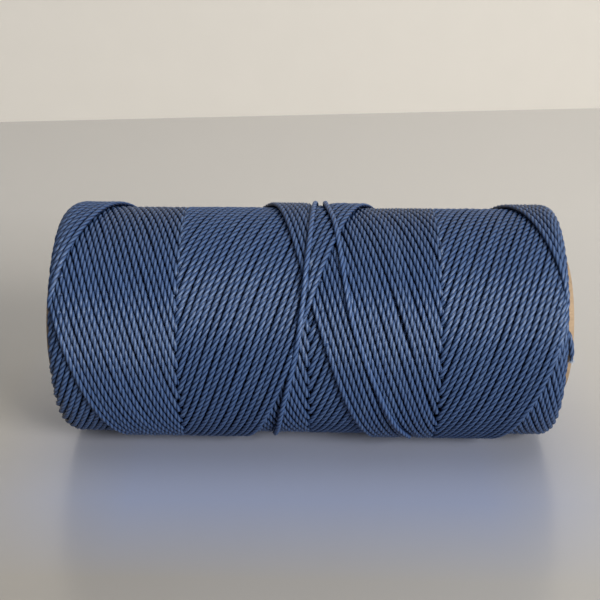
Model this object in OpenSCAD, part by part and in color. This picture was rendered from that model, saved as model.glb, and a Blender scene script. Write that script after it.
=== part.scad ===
// Spool of waxed cord: a spiral-wound paper tube that carries one long cross-wound cord.
// The spool lies on its side. X runs along the tube, -Y is the front, +Z is up, and the
// origin is on the supporting surface under the middle of the tube.

/* [Paper tube] */
// Length of the tube over its two rims
tube_length = 106.4; // [60:0.2:160]
// Diameter of the hole that a spindle goes through
bore_d = 24; // [14:0.5:34]
// Thickness of one strip of board in the tube wall
ply_t = 0.5; // [0.35:0.05:0.7]

/* [Winding] */
// Length of the wound cord between its two end faces
winding_length = 102.4; // [50:0.2:105]
// How far the winding sits to the left of the middle of the tube
winding_shift = 0.4; // [0:0.1:0.5]
// Outer diameter of the wound cord
winding_d = 50; // [44:0.5:80]
// Depth of the last crossed layers, which show at the surface
outer_layer_t = 1.8; // [1.2:0.1:3]
// Rounding of the left shoulder
left_shoulder_r = 4.5; // [1:0.1:6]
// Rounding of the right shoulder
right_shoulder_r = 3; // [1:0.1:6]

/* [Cord] */
// Diameter of the cord
cord_d = 1.1; // [0.6:0.05:1.5]
// Gap between pieces that lie on each other
clearance = 0.06; // [0.03:0.01:0.15]

/* [Start of the cord] */
// Height angle at which the start comes out from under the winding, in degrees
start_angle = 16; // [-40:1:80]
// How far round the tube the start runs before it ends, in degrees
start_sweep = 26; // [10:1:60]
// How far the side of the start stands past the rim
start_overhang = 0.3; // [0:0.05:0.5]

/* [Hidden] */
$fn = 96;

kraft_brown = "#b98d5e";
board_grey = "#a08c72";
waxed_blue = "#3c5278";
loose_blue = "#5d769f";

winding_r = winding_d / 2;
bore_r = bore_d / 2;
cord_r = cord_d / 2;
tube_r = bore_r + 5 * ply_t;
tube_half = tube_length / 2;
winding_half = winding_length / 2;
cut_over = 1;

// Route of the loose end over the winding: height angle from the front, in degrees, and X.
// It climbs the front, goes over the top and down the back, passes under the winding where
// the weight presses it in, and then goes round once more.
end_route = [[-62, -7.2], [-46, -6.3], [-27, -5.4], [-16, -4.5], [-4, -3.4], [8, -2.3],
             [23, -1.5], [34, -1], [50, -0.4], [59, 0], [99, 0.9], [140, 1.4], [165, 4.5],
             [200, 9], [242, 15.5], [302, 21.5], [314, 19.7], [324, 17.5], [340, 14.8],
             [357, 11.9], [382, 8.2], [402, 6.8], [429, 5.3], [439, 4.5], [458, 3], [500, 3.2],
             [525, 0.2], [560, -3.4], [596, -7.5]];
first_lap = [-62, 242];
second_lap = [302, 596];
lap_rings = 38;
// The second lap rides over the first one here, in degrees
crossing_angle = 507.5;
crossing_spread = 12;
loose_sides = 8;

// Point at a radius from the tube's axis, a height angle and an X
function round_point(r, angle, x) = [x, -r * cos(angle), winding_r + r * sin(angle)];

function unit(v) = v / norm(v);

// Corner points of one ring of a swept cord, square to its direction
function ring(at, along, outward, r, sides) =
    let (side = unit(cross(along, outward)), up = unit(cross(side, along)))
    [for (i = [0:sides - 1])
        at + r * (cos(360 * i / sides) * side + sin(360 * i / sides) * up)];

// Direction of a route at one of its points
function heading(route, i) =
    unit(route[min(i + 1, len(route) - 1)] - route[max(i - 1, 0)]);

// A closed cord of radius r along a route
module swept_cord(route, r, sides) {
    count = len(route);
    rings = [for (i = [0:count - 1])
        ring(route[i], heading(route, i),
             route[i] - [route[i].x, 0, winding_r], r, sides)];
    walls = [for (i = [0:count - 2], k = [0:sides - 1])
        let (a = i * sides + k, b = i * sides + (k + 1) % sides)
        each [[a, a + sides, b + sides], [a, b + sides, b]]];
    first_cap = [for (k = [0:sides - 1]) k];
    last_cap = [for (k = [sides - 1:-1:0]) (count - 1) * sides + k];
    polyhedron([for (each_ring = rings) each each_ring],
               concat(walls, [first_cap, last_cap]), convexity = 10);
}

// Turns a shape made round Z so that it lies round the tube's axis
module along_tube(shift = 0) {
    translate([-shift, 0, winding_r]) rotate([0, 90, 0]) children();
}

// One strip of the tube wall, counted from the bore
module ply(number) {
    inner_r = bore_r + (number - 1) * ply_t;
    along_tube()
        translate([0, 0, -tube_half])
            difference() {
                cylinder(h = tube_length, r = inner_r + ply_t);
                translate([0, 0, -cut_over])
                    cylinder(h = tube_length + 2 * cut_over, r = inner_r);
            }
}

// Half section of a winding: a rectangle whose two outer corners are round
module winding_section(r) {
    flat_left = left_shoulder_r - winding_half;
    flat_right = winding_half - right_shoulder_r;
    translate([0, flat_left]) square([r, flat_right - flat_left]);
    translate([0, -winding_half]) square([r - left_shoulder_r, left_shoulder_r + cut_over]);
    translate([0, flat_right - cut_over])
        square([r - right_shoulder_r, right_shoulder_r + cut_over]);
    translate([r - left_shoulder_r, flat_left]) circle(r = left_shoulder_r);
    translate([r - right_shoulder_r, flat_right]) circle(r = right_shoulder_r);
}

// A sleeve of wound cord between two radii
module wound_sleeve(outer_r, inner_r, inner_round) {
    along_tube(winding_shift)
        rotate_extrude()
            difference() {
                winding_section(outer_r);
                if (inner_round)
                    winding_section(inner_r);
                else
                    translate([0, -winding_half - cut_over])
                        square([inner_r, winding_length + 2 * cut_over]);
            }
}

module liner_ply() {
    color(kraft_brown) ply(1);
}

module inner_body_ply() {
    color(board_grey) ply(2);
}

module middle_body_ply() {
    color(board_grey) ply(3);
}

module outer_body_ply() {
    color(board_grey) ply(4);
}

module cover_ply() {
    color(kraft_brown) ply(5);
}

module cord_inner_layers() {
    color(waxed_blue) wound_sleeve(winding_r - outer_layer_t, tube_r, false);
}

module cord_outer_layers() {
    color(waxed_blue) wound_sleeve(winding_r, winding_r - outer_layer_t, true);
}

// The start comes straight out from under the winding, lies on the tube and turns to run
// round it along the rim
module cord_start() {
    r = tube_r + cord_r + clearance;
    steps = 8;
    exit_x = winding_half - winding_shift + clearance;
    first_x = exit_x + cord_r / 2;
    last_x = tube_half + start_overhang - cord_r;
    turn_route = [for (i = [0:steps])
        let (turn = 90 * i / steps)
        round_point(r, start_angle - start_sweep * (1 - cos(turn)),
                    first_x + (last_x - first_x) * sin(turn))];
    color(loose_blue)
        swept_cord(concat([round_point(r, start_angle, exit_x)], turn_route),
                   cord_r, loose_sides);
}

// Height of the loose end's centre line off the tube's axis
function end_radius(angle) =
    winding_r + cord_r + clearance
    + (cord_d + 2 * clearance) * exp(-pow((angle - crossing_angle) / crossing_spread, 2));

module lap(limits) {
    route = [for (i = [0:lap_rings - 1])
        let (angle = limits[0] + (limits[1] - limits[0]) * i / (lap_rings - 1))
        round_point(end_radius(angle), angle, lookup(angle, end_route))];
    swept_cord(route, cord_r, loose_sides);
}

module cord_end() {
    color(loose_blue) {
        lap(first_lap);
        lap(second_lap);
    }
}

liner_ply();
inner_body_ply();
middle_body_ply();
outer_body_ply();
cover_ply();
cord_inner_layers();
cord_outer_layers();
cord_start();
cord_end();
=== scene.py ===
"""Spool of waxed cord: the wound cord, its two ends, the finishes of the paper tube, and the stage."""

import math

import bpy
import numpy as np
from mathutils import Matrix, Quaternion, Vector


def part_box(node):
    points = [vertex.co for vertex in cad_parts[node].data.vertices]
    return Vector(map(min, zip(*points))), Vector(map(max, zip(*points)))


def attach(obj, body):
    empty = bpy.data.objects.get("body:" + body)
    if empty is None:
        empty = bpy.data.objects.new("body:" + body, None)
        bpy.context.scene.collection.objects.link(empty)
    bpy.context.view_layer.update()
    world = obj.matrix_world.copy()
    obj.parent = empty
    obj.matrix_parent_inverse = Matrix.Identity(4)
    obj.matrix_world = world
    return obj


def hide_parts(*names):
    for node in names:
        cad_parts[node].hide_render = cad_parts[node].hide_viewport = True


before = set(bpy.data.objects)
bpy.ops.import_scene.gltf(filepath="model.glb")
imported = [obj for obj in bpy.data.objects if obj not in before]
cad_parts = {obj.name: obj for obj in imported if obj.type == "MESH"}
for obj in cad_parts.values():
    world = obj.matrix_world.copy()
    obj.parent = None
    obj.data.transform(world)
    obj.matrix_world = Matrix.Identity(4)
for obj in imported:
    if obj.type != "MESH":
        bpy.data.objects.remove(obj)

bl_info = {
    "name": "Spool of waxed cord",
    "version": (1, 0, 0),
    "blender": (4, 5, 0),
    "location": "3D View > Sidebar > Cord spool",
    "description": "Winds a cross-wound cord round a paper tube and gives every piece its finish",
    "category": "Add Mesh",
}

MM = 0.001
TURN = 2 * math.pi

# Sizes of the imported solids, in millimetres
WINDING_LOW, WINDING_HIGH = [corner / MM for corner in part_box("cord_outer_layers")]
COVER_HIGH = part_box("cover_ply")[1] / MM
AXIS_Z = (WINDING_LOW.z + WINDING_HIGH.z) / 2
TUBE_R = COVER_HIGH.z - AXIS_Z
TUBE_HALF = COVER_HIGH.x
FACE_X = WINDING_HIGH.x
MIDDLE_X = (WINDING_LOW.x + WINDING_HIGH.x) / 2

# The pattern of the winding: where its turns would meet in sharp corners, and how it steps on.
# TOP_R is the radius of the newest cord's centre line, and LAYER is how far one crossing layer lies
# below the next. At each turn the cord dwells for DWELL, so that the next one lies beside it.
CORNER_LEFT = -51.23
CORNER_RIGHT = 51.95
TRAVERSE = CORNER_RIGHT - CORNER_LEFT
TURNS_A_TRAVERSE = 2
SLOPE = TURNS_A_TRAVERSE * TURN / TRAVERSE
CORDS = 40
STEP = TURN / CORDS
NEWEST_ANGLE = math.radians(-31.7)
LAYER = 1.0
TOP_R = 24.8
DWELL = STEP / (2 * SLOPE)
CYCLE = 2 * (TRAVERSE + DWELL)
TURN_INSET = 0.75
TURN_X = (WINDING_LOW.x + TURN_INSET, WINDING_HIGH.x - TURN_INSET)
ZONES = 2 * TURNS_A_TRAVERSE
ZONE = TRAVERSE / ZONES
SHOULDER = (4.5, 3.0)
CORD_R = 0.55
FIRST_LAYER_R = TUBE_R + CORD_R
# How far the core's ends lie inside the end faces of the winding
CORE_INSET = 1.45
PLIES = 3
# Thickness of one strip of the tube wall
STRIP_T = 0.5
# Travel between two points of a drawn cord, and how many of them a hidden stretch passes over
SAMPLE = 0.156
HIDDEN_EVERY = 12

# Route of the loose end: height angle from the front in degrees, and X in millimetres
END_ROUTE = np.array([
    (-62, -7.2), (-46, -6.3), (-27, -5.4), (-16, -4.5), (-4, -3.4), (8, -2.3), (23, -1.5),
    (34, -1), (50, -0.4), (59, 0), (99, 0.9), (140, 1.4), (165, 4.5), (200, 9), (242, 15.5),
    (302, 21.5), (314, 19.7), (324, 17.5), (340, 14.8), (357, 11.9), (382, 8.2), (402, 6.8),
    (429, 5.3), (439, 4.5), (458, 3), (500, 3.2), (525, 0.2), (560, -3.4), (596, -7.5)])
# The weight of the spool presses the loose end flat between these height angles
PRESSED = (242, 302)
# The second lap rides over the first one here
RIDES_OVER = 507.5
# How far the loose end is sunk between the cords below it: height angle, and depth in millimetres
SUNK = np.array([
    (-62, 0.3), (-30, 0.2), (0, 0.1), (40, 0.1), (60, 0.35), (90, 0.65), (130, 0.6), (160, 0.2),
    (200, 0.3), (236, 0.5), (252, 1.25), (292, 1.25), (306, 0.6), (324, 0.15), (338, 0.3), (346, 0.8),
    (366, 0.75), (382, 0.25), (402, 0.1), (420, 0.35), (450, 0.65), (486, 0.55), (498, 0.1),
    (520, 0.1), (560, 0.3), (600, 0.6)])

# Where cords on their way out crowd together or part: after which cord, at what travel of the newest
# cord and over how much of it, how far round the winding they shift, and how many neighbours follow.
# The cords below then show further in that zone.
SHIFTED = ((-0.01, 43.0, 6.2, 7.8, 8.0), (12.5, 54.9, 5.5, 0.5, 2.5))
SHIFTED_ZONE = 1
SHOWN_BESIDE_SHIFT = 3.2

# The start of the cord on the tube: height angle where it comes out, and how far round it then runs
START_ANGLE = 16.0
START_SWEEP = 26.0
SEAT = 0.06
START_PAST_RIM = 0.3

# The camera, in millimetres and degrees
LENS = 73.11
CAMERA_PLACE = (2.20, -241.18, 122.39)
CAMERA_AIM = (-2.13, 0.0, 29.50)
CAMERA_ROLL = 0.108


class CordSizes(bpy.types.PropertyGroup):
    diameter: bpy.props.FloatProperty(
        name="Cord diameter", description="Width over the three plies of the cord",
        default=1.1 * MM, min=0.5 * MM, max=2 * MM, unit="LENGTH", precision=5)
    lead: bpy.props.FloatProperty(
        name="Twist lead", description="Length of cord in which a ply goes round once",
        default=5.2 * MM, min=2 * MM, max=20 * MM, unit="LENGTH", precision=5)
    unevenness: bpy.props.FloatProperty(
        name="Unevenness", description="How far a cord wanders from its even place",
        default=0.07 * MM, min=0, max=0.3 * MM, unit="LENGTH", precision=5)
    core_radius: bpy.props.FloatProperty(
        name="Core radius", description="Radius of the plain core that lies under the two drawn layers",
        default=21.9 * MM, min=16 * MM, max=24 * MM, unit="LENGTH", precision=5)


class SpoolColours(bpy.types.PropertyGroup):
    cord: bpy.props.FloatVectorProperty(
        name="Cord", description="Colour of the waxed cord", subtype="COLOR", size=3,
        min=0, max=1, default=(0.023, 0.048, 0.120))
    # Painted shade: the dark colour in the grooves between the plies, on the sides of the cords that
    # face in, and between the cords of the deep layers.
    cord_painted_shade: bpy.props.FloatVectorProperty(
        name="Cord grooves", description="Colour deep between the plies", subtype="COLOR", size=3,
        min=0, max=1, default=(0.001, 0.004, 0.020))
    # Painted highlight: the pale colour given to the outer crest of each ply.
    cord_painted_highlight: bpy.props.FloatVectorProperty(
        name="Cord crests", description="Colour of the waxy outer side of each ply",
        subtype="COLOR", size=3, min=0, max=1, default=(0.070, 0.112, 0.215))
    cord_wax: bpy.props.FloatVectorProperty(
        name="Wax patches", description="Colour where the wax lies thicker", subtype="COLOR", size=3,
        min=0, max=1, default=(0.11, 0.16, 0.25))
    fray_dark: bpy.props.FloatVectorProperty(
        name="Frayed tip, dark", description="Darkest colour of the frayed fibres", subtype="COLOR",
        size=3, min=0, max=1, default=(0.12, 0.18, 0.30))
    fray_pale: bpy.props.FloatVectorProperty(
        name="Frayed tip, pale", description="Palest colour of the frayed fibres", subtype="COLOR",
        size=3, min=0, max=1, default=(0.36, 0.44, 0.56))
    kraft: bpy.props.FloatVectorProperty(
        name="Kraft paper", description="Colour of the liner and the cover of the tube",
        subtype="COLOR", size=3, min=0, max=1, default=(0.50, 0.36, 0.235))
    board: bpy.props.FloatVectorProperty(
        name="Grey board", description="Colour of the board strips in the tube wall",
        subtype="COLOR", size=3, min=0, max=1, default=(0.37, 0.30, 0.225))
    table: bpy.props.FloatVectorProperty(
        name="Table", description="Colour of the table top behind the spool", subtype="COLOR", size=3,
        min=0, max=1, default=(0.48, 0.463, 0.44))
    # Painted shade: the table is darker at the front, and darker and browner still at the front left.
    table_shaded_front_left: bpy.props.FloatVectorProperty(
        name="Table, front left", description="Colour of the table top at the front left",
        subtype="COLOR", size=3, min=0, max=1, default=(0.207, 0.187, 0.155))
    table_right: bpy.props.FloatVectorProperty(
        name="Table, front right", description="Colour of the table top at the front right",
        subtype="COLOR", size=3, min=0, max=1, default=(0.33, 0.325, 0.32))
    # Painted shadow and painted reflection: the bluish colour that the table takes just in front of the
    # spool.
    table_painted_shadow: bpy.props.FloatVectorProperty(
        name="Table, in front of the spool", description="Bluish colour of the table by the spool",
        subtype="COLOR", size=3, min=0, max=1, default=(0.20, 0.25, 0.41))
    wall: bpy.props.FloatVectorProperty(
        name="Wall", description="Colour of the wall behind", subtype="COLOR", size=3,
        min=0, max=1, default=(0.485, 0.462, 0.425))


# ---------------------------------------------------------------- materials


def fresh_material(name):
    """An empty node material, its Principled shader and its tree."""
    material = bpy.data.materials.new(name)
    material.use_nodes = True
    tree = material.node_tree
    return material, tree, tree.nodes["Principled BSDF"]


def add_node(tree, kind, inputs=None, **fields):
    """A new node with its fields and inputs set. An input that is a socket is linked."""
    node = tree.nodes.new(kind)
    for name, value in fields.items():
        setattr(node, name, value)
    for socket, value in (inputs or {}).items():
        if isinstance(value, bpy.types.NodeSocket):
            tree.links.new(value, node.inputs[socket])
        else:
            node.inputs[socket].default_value = value
    return node


def maths(tree, operation, *values):
    return add_node(tree, "ShaderNodeMath", dict(enumerate(values)), operation=operation).outputs[0]


def mixed(tree, share, low, high):
    """The colour between low and high that share says."""
    node = add_node(tree, "ShaderNodeMix", data_type="RGBA")
    for name, value in (("Factor", share), ("A", low), ("B", high)):
        socket = next(s for s in node.inputs if s.name == name and s.enabled)
        if isinstance(value, bpy.types.NodeSocket):
            tree.links.new(value, socket)
        else:
            socket.default_value = value
    return next(s for s in node.outputs if s.enabled)


def ranged(tree, value, low, high, to_low, to_high):
    inputs = {0: value, 1: low, 2: high, 3: to_low, 4: to_high}
    return add_node(tree, "ShaderNodeMapRange", inputs).outputs[0]


def noise(tree, where, scale, detail=2.0, rough=0.5):
    inputs = {"Vector": where, "Scale": scale, "Detail": detail, "Roughness": rough}
    return add_node(tree, "ShaderNodeTexNoise", inputs).outputs["Fac"]


def stretched(tree, where, scale):
    return add_node(tree, "ShaderNodeMapping", {"Vector": where, "Scale": scale}).outputs[0]


def bumped(tree, shader, height, strength, distance):
    """Raises the surface by height, with distance in millimetres."""
    inputs = {"Strength": strength, "Distance": distance * MM, "Height": height}
    bump = add_node(tree, "ShaderNodeBump", inputs)
    tree.links.new(bump.outputs[0], shader.inputs["Normal"])


def rgba(colour, strength=1.0):
    return (*[min(1.0, c * strength) for c in colour], 1.0)


def waxed_cord_material(name, colours):
    """Three-ply waxed cord: fibre streaks along the plies, painted shade in the grooves and on the
    inward sides, a painted highlight on the crest of each ply, and a waxy sheen from the specular.
    Its map has the way round the cord in U and the way along the plies in V."""
    material, tree, shader = fresh_material(name)
    uv = add_node(tree, "ShaderNodeUVMap", uv_map="along").outputs[0]
    parts = add_node(tree, "ShaderNodeSeparateXYZ", {0: uv})
    round_plies = maths(tree, "MULTIPLY", parts.outputs[0], PLIES * math.pi)
    ridge = maths(tree, "ABSOLUTE", maths(tree, "SINE", round_plies))
    tone = add_node(tree, "ShaderNodeAttribute", attribute_name="tone").outputs["Fac"]
    outward = add_node(tree, "ShaderNodeAttribute", attribute_name="outward").outputs["Fac"]
    fibres = noise(tree, stretched(tree, uv, (26.0, 1.6, 1.0)), 1.0, 3.0, 0.6)
    fine = noise(tree, stretched(tree, uv, (60.0, 5.0, 1.0)), 1.0, 2.0, 0.6)
    patches = noise(tree, stretched(tree, uv, (1.2, 0.35, 1.0)), 1.0, 2.0, 0.5)

    streaks = ranged(tree, fibres, 0.3, 0.72, 0.0, 1.0)
    body = mixed(tree, streaks, rgba(colours.cord, 0.66), rgba(colours.cord, 1.35))
    wax = ranged(tree, patches, 0.55, 0.8, 0.0, 0.35)
    waxy = mixed(tree, wax, body, rgba(colours.cord_wax))
    toned = mixed(tree, maths(tree, "MULTIPLY", tone, 0.35), waxy, rgba(colours.cord, 1.7))
    # Painted highlight: the outer crest of each ply is lightened towards the highlight colour.
    highlight_mask = ranged(tree, maths(tree, "MULTIPLY", outward, ridge), 0.45, 0.98, 0.0, 1.0)
    highlight_mask = maths(tree, "MULTIPLY", highlight_mask, ranged(tree, fibres, 0.3, 0.65, 0.35, 1.0))
    highlighted = mixed(tree, highlight_mask, toned, rgba(colours.cord_painted_highlight))
    # Painted shade: the grooves between the plies and the sides of the cord that face in towards the
    # winding take the dark shade colour.
    out_of_groove = ranged(tree, ridge, 0.02, 0.62, 0.0, 1.0)
    facing_out = ranged(tree, outward, -0.15, 0.5, 0.0, 1.0)
    lit = maths(tree, "MULTIPLY", out_of_groove, facing_out)
    tree.links.new(mixed(tree, lit, rgba(colours.cord_painted_shade), highlighted), shader.inputs["Base Color"])

    uneven = maths(tree, "ADD", *[maths(tree, "MULTIPLY", part, 0.5) for part in (fine, patches)])
    tree.links.new(ranged(tree, uneven, 0.3, 0.7, 0.40, 0.52), shader.inputs["Roughness"])
    around = add_node(tree, "ShaderNodeTangent", direction_type="UV_MAP", uv_map="along").outputs[0]
    tree.links.new(around, shader.inputs["Tangent"])
    shader.inputs["Anisotropic"].default_value = 0.8
    shader.inputs["Specular IOR Level"].default_value = 0.5
    shader.inputs["Specular Tint"].default_value = (0.70, 0.82, 1.0, 1.0)
    height = maths(tree, "ADD", maths(tree, "MULTIPLY", fibres, 0.7), maths(tree, "MULTIPLY", fine, 0.3))
    bumped(tree, shader, height, 0.4, 0.04)
    return material


def radial_parts(tree):
    """The place, X along the tube, the radius and the angle round it, in a piece's own coordinates."""
    where = add_node(tree, "ShaderNodeTexCoord").outputs["Object"]
    parts = add_node(tree, "ShaderNodeSeparateXYZ", {0: where})
    up = maths(tree, "SUBTRACT", parts.outputs[2], AXIS_Z * MM)
    across = parts.outputs[1]
    squares = [maths(tree, "MULTIPLY", part, part) for part in (up, across)]
    radius = maths(tree, "SQRT", maths(tree, "ADD", *squares))
    angle = maths(tree, "ARCTAN2", across, up)
    return where, parts.outputs[0], radius, angle


def paper_material(name, colour, ply_t, first_r, seam_lead, flecks):
    """Board or kraft paper: felted fibres, flecks, a spiral seam, and darker glue lines at the plies."""
    material, tree, shader = fresh_material(name)
    where, along, radius, angle = radial_parts(tree)
    felt = noise(tree, stretched(tree, where, (500.0, 1500.0, 1500.0)), 1.0, 4.0, 0.65)
    cloud = noise(tree, where, 90.0, 3.0, 0.5)
    fleck = noise(tree, where, 1400.0, 1.0, 0.5)
    layers = maths(tree, "DIVIDE", maths(tree, "SUBTRACT", radius, first_r * MM), ply_t * MM)
    off_centre = maths(tree, "ABSOLUTE", maths(tree, "SUBTRACT", maths(tree, "FRACT", layers), 0.5))
    glue = ranged(tree, off_centre, 0.40, 0.49, 0.0, 0.55)
    turns_along = maths(tree, "DIVIDE", along, seam_lead * MM)
    spiral = maths(tree, "ADD", turns_along, maths(tree, "DIVIDE", angle, TURN))
    seam_at = maths(tree, "ABSOLUTE", maths(tree, "SUBTRACT", maths(tree, "FRACT", spiral), 0.5))
    seam = ranged(tree, seam_at, 0.0, 0.012, 0.75, 0.0)
    body = mixed(tree, ranged(tree, felt, 0.3, 0.7, 0.0, 1.0), rgba(colour, 0.78), rgba(colour, 1.18))
    clouded = mixed(tree, ranged(tree, cloud, 0.35, 0.7, 0.0, 0.5), body, rgba(colour, 0.86))
    flecked = mixed(tree, ranged(tree, fleck, 0.66, 0.74, 0.0, flecks), clouded, rgba(colour, 0.4))
    glued = mixed(tree, glue, flecked, rgba(colour, 0.35))
    tree.links.new(mixed(tree, seam, glued, rgba(colour, 0.3)), shader.inputs["Base Color"])
    shader.inputs["Roughness"].default_value = 0.82
    shader.inputs["Specular IOR Level"].default_value = 0.3
    height = maths(tree, "SUBTRACT", felt, maths(tree, "MULTIPLY", seam, 1.5))
    bumped(tree, shader, height, 0.5, 0.12)
    return material


def core_material(colours):
    """The deep layers of cord, seen only in the gaps, with painted shade: darker than the outer cords,
    and dark lines between the cords.
    """
    material, tree, shader = fresh_material("deep_cord_layers")
    _, along, _, angle = radial_parts(tree)
    lay = maths(tree, "ADD", maths(tree, "MULTIPLY", along, SLOPE / MM), angle)
    cords = maths(tree, "SINE", maths(tree, "MULTIPLY", lay, CORDS))
    # Painted shade: the deep cords take 0.7 of the cord colour, with the dark shade colour between them.
    share = ranged(tree, cords, -1.0, 1.0, 0.0, 1.0)
    body = mixed(tree, share, rgba(colours.cord_painted_shade), rgba(colours.cord, 0.7))
    tree.links.new(body, shader.inputs["Base Color"])
    shader.inputs["Roughness"].default_value = 0.6
    bumped(tree, shader, cords, 0.8, 0.3)
    return material


# ---------------------------------------------------------------- cord geometry


def smooth_step(t):
    t = np.clip(t, 0.0, 1.0)
    return t * t * (3 - 2 * t)


def ply_outline(diameter, points_a_ply):
    """Angles and radii round a cord of three pressed plies, from one groove to the next."""
    offset, ply_r = diameter * 0.222 / 1.1, diameter * 0.328 / 1.1
    angles = np.arange(PLIES * points_a_ply) * TURN / (PLIES * points_a_ply)
    from_lobe = (angles % (TURN / PLIES)) - TURN / (2 * PLIES)
    radii = offset * np.cos(from_lobe) + np.sqrt(ply_r ** 2 - (offset * np.sin(from_lobe)) ** 2)
    return angles, radii


class CordMesh:
    """Gathers swept cords and makes one mesh of them."""

    def __init__(self, diameter, lead, points_a_ply=5, flat=(1.075, 0.93)):
        self.angles, self.radii = ply_outline(diameter, points_a_ply)
        self.lead = lead
        self.flat = flat
        self.points, self.uv, self.tones, self.outs = [], [], [], []
        self.corners, self.starts = [], []
        self.count = self.loops = 0

    def sweep(self, route, outward, travel, twist, tone, scale=None):
        """Adds a closed cord along route. travel is the length so far at each point, twist is the
        angle that the plies start at, and tone lightens the cord."""
        along = np.gradient(route, axis=0)
        along /= np.linalg.norm(along, axis=1, keepdims=True)
        outward = outward - along * np.sum(outward * along, axis=1, keepdims=True)
        outward /= np.linalg.norm(outward, axis=1, keepdims=True)
        side = np.cross(outward, along)
        turned = self.angles[None, :] + (twist + TURN * travel / self.lead)[:, None]
        size = self.radii[None, :] * (np.ones(len(route)) if scale is None else scale)[:, None]
        ring = (route[:, None, :] + side[:, None, :] * (size * np.cos(turned) * self.flat[0])[:, :, None]
                + outward[:, None, :] * (size * np.sin(turned) * self.flat[1])[:, :, None])
        rings, sides = len(route), len(self.angles)
        at = self.count + np.arange(rings * sides).reshape(rings, sides)
        after = np.roll(at, -1, axis=1)
        quads = np.stack([at[:-1], after[:-1], after[1:], at[1:]], axis=-1).reshape(-1, 4)
        column = np.arange(sides) / sides
        v = travel / (TURN * self.radii.max())
        around = np.broadcast_to(column[None, :], (rings - 1, sides))
        v_here = np.broadcast_to(v[:-1, None], around.shape)
        v_next = np.broadcast_to(v[1:, None], around.shape)
        uv = np.stack([around, v_here, around + 1 / sides, v_here,
                       around + 1 / sides, v_next, around, v_next], axis=-1).reshape(-1, 2)
        self.points.append(ring.reshape(-1, 3))
        self.corners += [quads.ravel(), at[0, ::-1], at[-1]]
        self.uv += [uv, np.stack([column[::-1], np.full(sides, v[0])], axis=-1),
                    np.stack([column, np.full(sides, v[-1])], axis=-1)]
        quad_loops = quads.size
        self.starts += [self.loops + np.arange(0, quad_loops, 4),
                        [self.loops + quad_loops, self.loops + quad_loops + sides]]
        self.loops += quad_loops + 2 * sides
        self.count += rings * sides
        self.tones.append(np.full(rings * sides, tone))
        self.outs.append((size * np.sin(turned) / self.radii.max()).ravel())

    def build(self, name, material):
        """One object at the origin, in metres."""
        mesh = bpy.data.meshes.new(name)
        points = np.concatenate(self.points) * MM
        corners = np.concatenate(self.corners)
        starts = np.concatenate(self.starts)
        mesh.vertices.add(len(points))
        mesh.vertices.foreach_set("co", points.astype(np.float32).ravel())
        mesh.loops.add(len(corners))
        mesh.loops.foreach_set("vertex_index", corners.astype(np.int32))
        mesh.polygons.add(len(starts))
        mesh.polygons.foreach_set("loop_start", starts.astype(np.int32))
        mesh.polygons.foreach_set("use_smooth", np.ones(len(starts), bool))
        mesh.update(calc_edges=True)
        layer = mesh.uv_layers.new(name="along")
        layer.data.foreach_set("uv", np.concatenate(self.uv).astype(np.float32).ravel())
        for label, values in (("tone", self.tones), ("outward", self.outs)):
            attribute = mesh.attributes.new(label, "FLOAT", "POINT")
            attribute.data.foreach_set("value", np.concatenate(values).astype(np.float32))
        mesh.materials.append(material)
        mesh.validate()
        piece = bpy.data.objects.new(name, mesh)
        bpy.context.scene.collection.objects.link(piece)
        return piece


def at_radius(r, height, x):
    """Points at a radius, a height angle in radians and an X, and the way outwards at each."""
    outward = np.stack([np.zeros_like(x), -np.cos(height), np.sin(height)], axis=-1)
    route = outward * np.reshape(r, (-1, 1))
    route[:, 0] = x
    route[:, 2] += AXIS_Z
    return route, outward


def zone_rise(x, spread):
    """How far a cord has climbed within its zone, from 0 to 1, with a drop between zones."""
    dropped = sum(smooth_step((x - ZONE * n) / spread + 1) for n in range(1, ZONES))
    return x / ZONE - dropped


def leaning(w):
    """0 where a cord travels to the right and 1 where it travels to the left, easing at the turns."""
    half, spread = CYCLE / 2, 2 * DWELL
    near_start = 1 - smooth_step(w / spread + 0.5)
    near_middle = smooth_step((w - half) / spread + 0.5)
    near_end = 1 - smooth_step((w - CYCLE) / spread + 0.5)
    return np.where(w < half / 2, near_start, np.where(w < 1.5 * half, near_middle, near_end))


def shoulder_drop(edge, rounding):
    """How far the surface lies below the cylinder at a distance from the end face."""
    r = rounding - CORD_R
    inside = np.clip(r - edge, 0.0, r)
    return r - np.sqrt(np.maximum(r * r - inside * inside, 0.0))


def route_x(height):
    return np.interp(height, END_ROUTE[:, 0], END_ROUTE[:, 1])


def pressed_dent(x, height):
    """How deep the loose end presses the cords down at a place, over both of its laps."""
    dent = 0.0
    for lap in (0, 360):
        turned = (height - END_ROUTE[0, 0]) % 360 + END_ROUTE[0, 0] + lap
        near = np.exp(-((x - route_x(turned)) / 1.15) ** 2)
        dent = dent + near * np.interp(turned, SUNK[:, 0], SUNK[:, 1]) * (turned < END_ROUTE[-1, 0])
    return dent


def wandering(rng, w, size):
    """A slow, even wander along a cord."""
    waves = rng.uniform(0.02, 0.16, 4)
    phases = rng.uniform(0, TURN, 4)
    return size * sum(np.sin(TURN * f * w + p) for f, p in zip(waves, phases)) / 2


def shifted(number, w):
    """Extra drift of an outward cord where its neighbours crowd together or part."""
    total = np.zeros_like(w)
    for after, travel, spread, drift, reach in SHIFTED:
        away = number - after
        near = np.exp(-((w - travel - 2 * DWELL * number) / spread) ** 2)
        total -= math.copysign(drift, away) * math.exp(-abs(away) / reach) * near
    return np.where(w < CYCLE / 2, total, 0.0)


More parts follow.
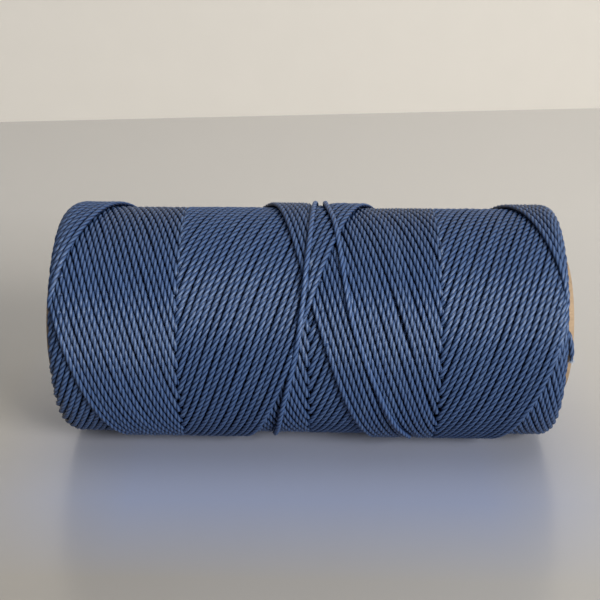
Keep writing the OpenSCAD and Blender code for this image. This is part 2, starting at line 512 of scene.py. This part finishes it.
def cord_place(number, w, drift, lift):
    """Route of one cycle of the winding, counted from the newest: out to the right and back.
    w is the travel along the tube since the left turn, and drift and lift move the cord round
    and off the winding, all in millimetres."""
    half = CYCLE / 2
    turn_angle = NEWEST_ANGLE - number * STEP - SLOPE * DWELL
    inset = smooth_step(np.array(number / CORDS)) * 0.2
    left_x, right_x = TURN_X[0] - inset, TURN_X[1] + inset
    round_left = left_x - CORNER_LEFT + DWELL
    round_right = CORNER_RIGHT - right_x
    plain = np.where(w < half, w, CYCLE - w) - DWELL
    sharp_left = np.minimum(np.abs(w), np.abs(w - CYCLE))
    sharp_right = np.abs(w - half)
    x_on = np.abs(plain + DWELL) - DWELL
    x_on = x_on + np.sqrt(sharp_left ** 2 + round_left ** 2) - sharp_left
    x_on = x_on - (np.sqrt(sharp_right ** 2 + round_right ** 2) - sharp_right)
    gentle = DWELL * (1 + 1.6 * math.exp(-number))
    rise = zone_rise(x_on, np.where(w < half, DWELL, gentle))
    lean = leaning(w)
    under = (1 - lean) * (1 - rise) + lean * rise
    age = STEP * (number - w / CYCLE)
    level_r = TOP_R - LAYER * age / math.pi
    depth = np.clip((level_r - FIRST_LAYER_R) / (TOP_R - FIRST_LAYER_R), 0.0, 1.0)
    x = CORNER_LEFT + x_on
    drop = shoulder_drop(x - left_x + 0.4, SHOULDER[0]) + shoulder_drop(right_x + 0.4 - x, SHOULDER[1])
    r = level_r - LAYER * under - drop * depth + lift
    angle = turn_angle + SLOPE * w
    height = -(angle + drift / TOP_R)
    r = r - pressed_dent(x, np.degrees(height))
    return at_radius(r, height, x)


def travelled(route):
    steps = np.linalg.norm(np.diff(route, axis=0), axis=1)
    return np.concatenate([[0.0], np.cumsum(steps)])


def evenly_spaced(route, outward, spacing):
    """The same route with its points a spacing apart, and the length so far at each."""
    travel = travelled(route)
    at = np.arange(0, travel[-1], spacing)
    found = [np.stack([np.interp(at, travel, points[:, n]) for n in range(3)], axis=-1)
             for points in (route, outward)]
    return *found, at


def shown_spans(number):
    """Spans of w in which a cord shows, each with the piece that it belongs to. Each span runs on
    for under, further for the newest and the oldest cords, and shown_turn covers the turns."""
    hidden = STEP * number / (2 * SLOPE)
    under = 0.85 + 2.2 * (math.exp(-number / 2) + math.exp((number - CORDS + 1) / 2))
    shown_turn = 3.0
    last = ZONES - 1
    spans = [("forward_0", 0.0, shown_turn), (f"backward_{last}", CYCLE / 2, CYCLE / 2 + shown_turn)]
    for zone in range(last + 1):
        start = ZONE * zone + hidden - under
        stop = ZONE * (zone + 1) + under
        right = CYCLE / 2 if zone == last else min(stop + DWELL, CYCLE / 2)
        spans.append((f"forward_{zone}", max(start + DWELL, 0.0), right))
        start = ZONE * zone - under - DWELL
        stop = ZONE * (zone + 1) - hidden + under + SHOWN_BESIDE_SHIFT * (zone == SHIFTED_ZONE)
        left = CYCLE if zone == 0 else CYCLE - DWELL - start
        spans.append((f"backward_{zone}", max(CYCLE - DWELL - stop, CYCLE / 2), left))
    return spans


def without_overlap(spans):
    """The spans in order, each starting no earlier than the one before it stops."""
    found, at = [], 0.0
    for name, low, high in sorted(spans, key=lambda span: span[1]):
        low = max(low, at)
        if high > low + 0.5:
            found.append((name, low, high))
            at = high
    return found


def hidden_spans(spans):
    """What is left of the cycle between the shown spans."""
    gaps, at = [], 0.0
    for _, low, high in sorted(spans, key=lambda span: span[1]):
        if low > at + 0.3:
            gaps.append((at, low))
        at = max(at, high)
    if at < CYCLE - 0.3:
        gaps.append((at, CYCLE))
    return gaps


def cord_radius_at(x, height):
    """Radius of the centre line of the cord that shows at a place on the winding."""
    x_on = x - CORNER_LEFT
    angle = -np.radians(height)
    s = (2 * SLOPE * x_on) % TURN
    forward = (NEWEST_ANGLE - angle + SLOPE * x_on) % TURN
    backward = (NEWEST_ANGLE - angle - SLOPE * x_on) % TURN
    level = np.where(forward < s, forward / math.pi + 1 - s / TURN, backward / math.pi + s / TURN)
    return TOP_R - LAYER * level


def eased(values, width):
    """A running mean weighted by a bell, with the ends held."""
    reach = int(3 * width)
    weights = np.exp(-0.5 * (np.arange(-reach, reach + 1) / width) ** 2)
    padded = np.pad(values, reach, mode="edge")
    return np.convolve(padded, weights / weights.sum(), mode="valid")


def settings():
    scene = bpy.context.scene
    return scene.spool_cord, scene.spool_colours


def cord_finish():
    """The finish of the cord, made once for all the pieces of it."""
    name = "three_ply_cord"
    return bpy.data.materials.get(name) or waxed_cord_material(name, settings()[1])


# ---------------------------------------------------------------- operators


class SPOOL_OT_tube(bpy.types.Operator):
    """Give the five strips of the paper tube their kraft and grey board finishes"""

    bl_idname = "spool.tube"
    bl_label = "Paper tube"

    def execute(self, context):
        colours = settings()[1]
        bore_r = (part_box("liner_ply")[1].z / MM) - AXIS_Z
        kraft = paper_material("spiral_kraft", colours.kraft, STRIP_T, bore_r, 58.0, 0.5)
        board = paper_material("layered_board", colours.board, STRIP_T, bore_r, 44.0, 0.8)
        for name, finish in (("liner_ply", kraft), ("cover_ply", kraft), ("inner_body_ply", board),
                             ("middle_body_ply", board), ("outer_body_ply", board)):
            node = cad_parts[name]
            if not node.material_slots:
                node.data.materials.append(finish)
            for slot in node.material_slots:
                slot.material = finish
        return {"FINISHED"}


class SPOOL_OT_core(bpy.types.Operator):
    """Make the deep layers of cord, which show only in the gaps between the outer cords"""

    bl_idname = "spool.core"
    bl_label = "Deep cord layers"

    def execute(self, context):
        cord, colours = settings()
        half = (FACE_X - MIDDLE_X - CORE_INSET) * MM
        bpy.ops.object.select_all(action="DESELECT")
        bpy.ops.mesh.primitive_cylinder_add(
            vertices=128, radius=cord.core_radius, depth=2 * half, end_fill_type="NOTHING",
            location=(MIDDLE_X * MM, 0, AXIS_Z * MM), rotation=(0, math.pi / 2, 0))
        core = context.active_object
        core.name = core.data.name = "deep_cord_layers"
        bpy.ops.object.transform_apply(location=True, rotation=True, scale=True)
        self.close_ends(half)
        core.data.materials.append(core_material(colours))
        bpy.ops.object.shade_smooth_by_angle(angle=math.radians(40))
        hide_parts("cord_inner_layers")
        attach(core, "root")
        return {"FINISHED"}

    def close_ends(self, half):
        """Steps both ends in over two shoulders, and bridges them down the side of the tube."""
        bpy.ops.object.mode_set(mode="EDIT")
        bpy.ops.mesh.select_mode(type="EDGE")
        for side in (-1, 1):
            end_x = MIDDLE_X * MM + side * half
            centre = (end_x, 0, AXIS_Z * MM)
            self.pick_rim(end_x)
            for inset, pull in ((0.955, 0.5), (0.94, 1.0)):
                bpy.ops.mesh.extrude_edges_move()
                bpy.ops.transform.resize(value=(1, inset, inset), center_override=centre)
                bpy.ops.transform.translate(value=(side * pull * MM * 0.4, 0, 0))
            bpy.ops.mesh.extrude_edges_move()
            share = (TUBE_R + 0.02) * MM / (settings()[0].core_radius * 0.955 * 0.94)
            bpy.ops.transform.resize(value=(1, share, share), center_override=centre)
        self.pick_inner_rims()
        bpy.ops.mesh.bridge_edge_loops()
        bpy.ops.mesh.select_all(action="SELECT")
        bpy.ops.mesh.remove_doubles(threshold=1e-7)
        bpy.ops.mesh.normals_make_consistent(inside=False)
        bpy.ops.object.mode_set(mode="OBJECT")

    def pick_rim(self, x):
        bpy.ops.mesh.select_all(action="DESELECT")
        bpy.ops.object.mode_set(mode="OBJECT")
        mesh = bpy.context.active_object.data
        for edge in mesh.edges:
            edge.select = all(abs(mesh.vertices[v].co.x - x) < 1e-6 for v in edge.vertices)
        bpy.ops.object.mode_set(mode="EDIT")

    def pick_inner_rims(self):
        bpy.ops.mesh.select_all(action="DESELECT")
        bpy.ops.object.mode_set(mode="OBJECT")
        mesh = bpy.context.active_object.data
        for edge in mesh.edges:
            ends = [mesh.vertices[v].co for v in edge.vertices]
            furthest = max(math.hypot(end.y, end.z - AXIS_Z * MM) for end in ends)
            edge.select = furthest < (TUBE_R + 0.3) * MM
        bpy.ops.object.mode_set(mode="EDIT")


class SPOOL_OT_winding(bpy.types.Operator):
    """Wind the outer layers: forty crossing cords, in one piece for each zone and direction"""

    bl_idname = "spool.winding"
    bl_label = "Outer cord layers"

    def execute(self, context):
        cord = settings()[0]
        diameter, lead = cord.diameter / MM, cord.lead / MM
        names = [f"{way}_{zone}" for way in ("forward", "backward") for zone in range(ZONES)]
        shown = {name: CordMesh(diameter, lead) for name in names}
        hidden = CordMesh(diameter, lead, points_a_ply=2)
        rng = np.random.default_rng(11)
        w = np.linspace(0.0, CYCLE, int(CYCLE / SAMPLE) + 1)
        twist = 0.0
        for number in range(CORDS - 1, -1, -1):
            fade = smooth_step(w / 6.0) * smooth_step((CYCLE - w) / 6.0)
            drift = wandering(rng, w, cord.unevenness / MM * 3.2) * fade
            drift = drift + shifted(number, w)
            lift = wandering(rng, w, 0.03) * fade
            route, outward = cord_place(number, w, drift, lift)
            travel = travelled(route)
            tone = rng.uniform(0, 1)
            spans = without_overlap(shown_spans(number))
            for name, low, high in spans:
                first, last = np.searchsorted(w, (low, high))
                last = min(last + 1, len(w))
                if last - first > 3:
                    part = slice(first, last)
                    shown[name].sweep(route[part], outward[part], travel[part], twist, tone)
            for low, high in hidden_spans(spans):
                first, last = np.searchsorted(w, (low, high))
                pick = np.arange(max(first - 4, 0), min(last + 4, len(w)), HIDDEN_EVERY)
                if len(pick) > 3:
                    hidden.sweep(route[pick], outward[pick], travel[pick], twist, tone)
            twist += TURN * travel[-1] / lead
        finish = cord_finish()
        pieces = [mesh.build(f"outer_cord_{name}", finish) for name, mesh in shown.items()]
        pieces.append(hidden.build("second_layer_cords", finish))
        for piece in pieces:
            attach(piece, "root")
        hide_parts("cord_outer_layers")
        return {"FINISHED"}


class SPOOL_OT_end_turns(bpy.types.Operator):
    """Lay the turning cords that cover the two end faces of the winding"""

    bl_idname = "spool.end_turns"
    bl_label = "End face turns"

    def execute(self, context):
        cord = settings()[0]
        diameter, lead = cord.diameter / MM, cord.lead / MM
        deepest = int((TOP_R - FIRST_LAYER_R) * math.pi / (LAYER * STEP))
        for name, middle, seed in (("left_end_turns", 0.0, 5), ("right_end_turns", CYCLE / 2, 6)):
            rng = np.random.default_rng(seed)
            turns = CordMesh(diameter, lead)
            for number in range(CORDS, deepest):
                level_r = TOP_R - LAYER * STEP * number / math.pi
                spacing = 0.7 / math.hypot(1, SLOPE * level_r)
                w = middle + np.arange(-3.3, 3.3 + spacing, spacing)
                drift = rng.normal(0, 0.12) + np.zeros_like(w)
                route, outward = cord_place(number, w, drift, rng.normal(0, 0.05))
                turns.sweep(route, outward, travelled(route), rng.uniform(0, TURN), rng.uniform(0, 1))
            piece = turns.build(name, cord_finish())
            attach(piece, "root")
        return {"FINISHED"}


class SPOOL_OT_cord_end(bpy.types.Operator):
    """Lay the loose end of the cord over the winding, once under it and round again"""

    bl_idname = "spool.cord_end"
    bl_label = "Loose end"

    def execute(self, context):
        cord = settings()[0]
        diameter = cord.diameter / MM
        height = np.arange(END_ROUTE[0, 0], END_ROUTE[-1, 0], 0.75)
        x = eased(route_x(height), 8)
        under = np.max([cord_radius_at(x + across, height + over)
                        for across in (-0.5, 0, 0.5) for over in (-1.5, 0, 1.5)], axis=0)
        r = eased(under, 6) + 0.93 * diameter - np.interp(height, SUNK[:, 0], SUNK[:, 1])
        r += diameter * np.exp(-((height - RIDES_OVER) / 10) ** 2)
        low, high = PRESSED
        held = smooth_step((height - low + 18) / 18) * smooth_step((high + 18 - height) / 18)
        floor_r = (AXIS_Z - 0.5 * diameter) / np.maximum(np.cos(np.radians(height - 270)), 0.2)
        r = np.where(held > 0, r * (1 - held) + np.minimum(r, floor_r) * held, r)
        tucked = smooth_step((height - (END_ROUTE[-1, 0] - 26)) / 24)
        r = eased(r, 3) - 1.5 * tucked
        route, outward, at = evenly_spaced(*at_radius(r, np.radians(height), x), 0.36)
        end = CordMesh(diameter, cord.lead / MM, points_a_ply=7, flat=(1.0, 1.0))
        end.sweep(route, outward, at, 0.4, 2.0)
        piece = end.build("loose_end", cord_finish())
        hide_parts("cord_end")
        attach(piece, "root")
        return {"FINISHED"}


class SPOOL_OT_cord_start(bpy.types.Operator):
    """Lay the start of the cord on the tube beside the winding, with its frayed tip"""

    bl_idname = "spool.cord_start"
    bl_label = "Start of the cord"

    def execute(self, context):
        cord = settings()[0]
        diameter = cord.diameter / MM
        r = TUBE_R + diameter / 2 + SEAT
        low_x, high_x = FACE_X - 1.6, TUBE_HALF + START_PAST_RIM - diameter / 2
        turn = np.radians(np.linspace(0, 90, 30))
        height = START_ANGLE - START_SWEEP * (1 - np.cos(turn))
        x = FACE_X + 0.3 + (high_x - FACE_X - 0.3) * np.sin(turn)
        x = np.concatenate([np.linspace(low_x, x[0], 6)[:-1], x])
        height = np.concatenate([np.full(5, START_ANGLE), height])
        route, outward, at = evenly_spaced(*at_radius(r, np.radians(height), x), 0.3)
        tail = CordMesh(diameter, cord.lead / MM, points_a_ply=7, flat=(1.0, 1.0))
        thinning = 1 - 0.45 * smooth_step((at - at[-1] + 2.2) / 2.2)
        tail.sweep(route, outward, at, 1.0, 0.2, thinning)
        piece = tail.build("start_of_cord", cord_finish())
        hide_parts("cord_start")
        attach(piece, "root")
        self.fray(route, outward, diameter)
        return {"FINISHED"}

    def fray(self, route, outward, diameter):
        """Pale fibres that stand out of the cut tip."""
        rng = np.random.default_rng(3)
        tip, heading = route[-1], route[-1] - route[-3]
        heading /= np.linalg.norm(heading)
        up = outward[-1]
        side = np.cross(up, heading)
        fibres = CordMesh(0.17, 3.0, points_a_ply=2, flat=(1.0, 1.0))
        for _ in range(22):
            place = rng.uniform(-1, 1, 2) * 0.24 * diameter
            lean = rng.normal(0, 0.22, 2)
            length = rng.uniform(0.7, 1.25)
            share = np.linspace(0, 1, 6)[:, None]
            curl = side * lean[0] + up * abs(lean[1])
            path = (tip - heading * 0.9 + side * place[0] + up * place[1]
                    + heading * length * share + curl * length * share ** 2)
            fibres.sweep(path, np.tile(up, (6, 1)), travelled(path), rng.uniform(0, TURN), 0.0,
                         1 - 0.5 * share[:, 0])
        piece = fibres.build("frayed_tip", self.fray_finish(settings()[1]))
        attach(piece, "root")

    def fray_finish(self, colours):
        material, tree, shader = fresh_material("frayed_fibres")
        where = add_node(tree, "ShaderNodeTexCoord").outputs["Object"]
        pale = ranged(tree, noise(tree, where, 2500.0, 2.0), 0.35, 0.65, 0.0, 1.0)
        colour = mixed(tree, pale, rgba(colours.fray_dark), rgba(colours.fray_pale))
        tree.links.new(colour, shader.inputs["Base Color"])
        shader.inputs["Roughness"].default_value = 0.5
        return material


class SPOOL_OT_stage(bpy.types.Operator):
    """Set up the table, the wall, the soft lights and the camera"""

    bl_idname = "spool.stage"
    bl_label = "Stage"

    def execute(self, context):
        colours = settings()[1]
        table, wall = self.table_finish(colours), self.wall_finish(colours)
        self.surface("table_top", (0, -0.55, 0), (0, 0, 0), (3.2, 1.78), table)
        self.surface("wall_behind", (0, 0.315, 0.8), (math.pi / 2, 0, 0.133), (3.2, 1.6), wall)
        window, ceiling = ((0.75, -0.95, 0.50), (0, 0, 0.03)), ((0.1, -0.1, 1.25), (0, 0.05, 0))
        self.soft_light("window_light", *window, (0.55, 0.45), 27.0, (1.0, 0.96, 0.89))
        self.soft_light("ceiling_light", *ceiling, (1.3, 1.1), 6.0, (1.0, 0.95, 0.87))
        world = bpy.data.worlds.new("room_light")
        world.use_nodes = True
        sky = world.node_tree.nodes["Background"]
        sky.inputs["Color"].default_value = (0.62, 0.76, 1.0, 1)
        sky.inputs["Strength"].default_value = 0.34
        context.scene.world = world
        context.scene.view_settings.view_transform = "Standard"
        self.camera(context)
        return {"FINISHED"}

    def surface(self, name, centre, turned, size, finish):
        bpy.ops.object.select_all(action="DESELECT")
        bpy.ops.mesh.primitive_plane_add(size=1, location=centre, rotation=turned)
        plane = bpy.context.active_object
        plane.name = plane.data.name = name
        plane.scale = (*size, 1)
        bpy.ops.object.transform_apply(location=True, rotation=True, scale=True)
        plane.data.materials.append(finish)

    def table_finish(self, colours):
        material, tree, shader = fresh_material("satin_table")
        where = add_node(tree, "ShaderNodeTexCoord").outputs["Object"]
        parts = add_node(tree, "ShaderNodeSeparateXYZ", {0: where})
        # Painted shade: the table top is darker towards the front and towards the left, palest at the
        # back right.
        back = ranged(tree, parts.outputs[1], -0.10, 0.16, 0.0, 1.0)
        right = ranged(tree, parts.outputs[0], -0.13, 0.10, 0.0, 1.0)
        front = mixed(tree, right, rgba(colours.table_shaded_front_left), rgba(colours.table_right))
        # Painted shadow and reflection of the spool: a bluish patch on the table just in front of it.
        beside = ranged(tree, maths(tree, "ABSOLUTE", parts.outputs[0]), 0.035, 0.07, 1.0, 0.0)
        close_by = ranged(tree, parts.outputs[1], -0.060, -0.033, 0.0, 1.0)
        front = mixed(tree, maths(tree, "MULTIPLY", close_by, beside), front, rgba(colours.table_painted_shadow))
        rear = mixed(tree, right, rgba(colours.table, 0.88), rgba(colours.table))
        tree.links.new(mixed(tree, back, front, rear), shader.inputs["Base Color"])
        shader.inputs["Roughness"].default_value = 0.24
        shader.inputs["Specular IOR Level"].default_value = 0.9
        return material

    def wall_finish(self, colours):
        material, tree, shader = fresh_material("painted_wall")
        where = add_node(tree, "ShaderNodeTexCoord").outputs["Object"]
        grain = noise(tree, where, 60.0, 3.0)
        tree.links.new(mixed(tree, grain, rgba(colours.wall, 0.98), rgba(colours.wall, 1.02)),
                       shader.inputs["Base Color"])
        shader.inputs["Roughness"].default_value = 0.9
        return material

    def soft_light(self, name, place, aim, size, power, tint):
        light = bpy.data.lights.new(name, "AREA")
        light.shape = "RECTANGLE"
        light.size, light.size_y = size
        light.energy = power
        light.color = tint
        lamp = bpy.data.objects.new(name, light)
        bpy.context.scene.collection.objects.link(lamp)
        lamp.location = place
        lamp.rotation_euler = (Vector(aim) - Vector(place)).to_track_quat("-Z", "Y").to_euler()

    def camera(self, context):
        lens = bpy.data.cameras.new("camera")
        lens.lens, lens.sensor_width = LENS, 36.0
        lens.clip_start, lens.clip_end = 0.01, 20.0
        camera = bpy.data.objects.new("camera", lens)
        context.scene.collection.objects.link(camera)
        place, aim = Vector(CAMERA_PLACE) * MM, Vector(CAMERA_AIM) * MM
        roll = Quaternion((0, 0, 1), math.radians(CAMERA_ROLL))
        camera.location = place
        camera.rotation_euler = ((aim - place).to_track_quat("-Z", "Y") @ roll).to_euler()
        context.scene.camera = camera


class SPOOL_PT_panel(bpy.types.Panel):
    """Everything that the spool is made of"""

    bl_idname = "SPOOL_PT_panel"
    bl_label = "Cord spool"
    bl_space_type = "VIEW_3D"
    bl_region_type = "UI"
    bl_category = "Cord spool"

    def draw(self, context):
        scene = context.scene
        for group in (scene.spool_cord, scene.spool_colours):
            box = self.layout.box()
            for name in group.bl_rna.properties.keys():
                if name not in {"rna_type", "name"}:
                    box.prop(group, name)
        for step in STEPS:
            self.layout.operator(step.bl_idname)


STEPS = (SPOOL_OT_stage, SPOOL_OT_tube, SPOOL_OT_core, SPOOL_OT_winding, SPOOL_OT_end_turns,
         SPOOL_OT_cord_end, SPOOL_OT_cord_start)
CLASSES = (CordSizes, SpoolColours, *STEPS, SPOOL_PT_panel)


def register():
    for each in CLASSES:
        bpy.utils.register_class(each)
    bpy.types.Scene.spool_cord = bpy.props.PointerProperty(type=CordSizes)
    bpy.types.Scene.spool_colours = bpy.props.PointerProperty(type=SpoolColours)


def unregister():
    del bpy.types.Scene.spool_cord
    del bpy.types.Scene.spool_colours
    for each in reversed(CLASSES):
        bpy.utils.unregister_class(each)


def main():
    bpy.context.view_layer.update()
    register()
    bpy.ops.spool.stage()
    bpy.ops.spool.tube()
    bpy.ops.spool.core()
    bpy.ops.spool.winding()
    bpy.ops.spool.end_turns()
    bpy.ops.spool.cord_end()
    bpy.ops.spool.cord_start()


if __name__ == "__main__":
    main()
